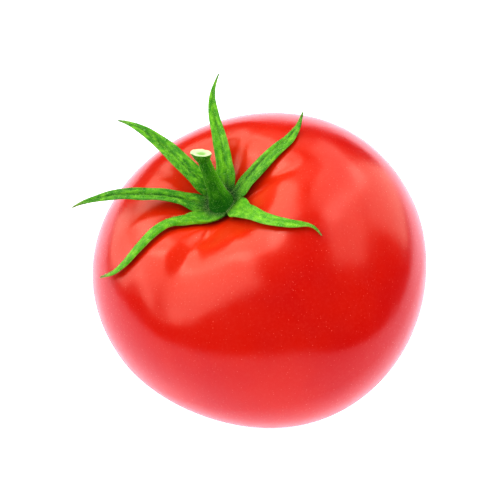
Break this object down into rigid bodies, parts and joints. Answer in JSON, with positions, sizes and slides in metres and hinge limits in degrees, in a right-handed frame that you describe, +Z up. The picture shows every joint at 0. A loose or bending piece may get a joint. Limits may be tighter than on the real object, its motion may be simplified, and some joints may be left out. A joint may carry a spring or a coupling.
{
  "type": "tomato",
  "caption": "Ripe round tomato lying tipped on a small flat spot, with a creased shoulder, spreading pointed sepals and a short cut stem.",
  "frame": {"origin": "middle of the small flat rest spot under the fruit, on the surface that it rests on", "axes": "+Z up from the surface; the stem end leans towards -X; +Y points to the back"},
  "size_m": [0.08, 0.0779, 0.0704],
  "materials": {
    "skin": "glossy waxy red fruit skin",
    "stem_green": "downy dark green stem with a pale cut end",
    "sepal_green": "downy yellow-green leaf"
  },
  "bodies": {
    "root": {"fruit": "skin", "stem": "stem_green", "sepal_back": "sepal_green", "sepal_back_right": "sepal_green", "sepal_front_right": "sepal_green", "sepal_front_left": "sepal_green", "sepal_left": "sepal_green", "sepal_back_left": "sepal_green"}
  },
  "joints": []
}
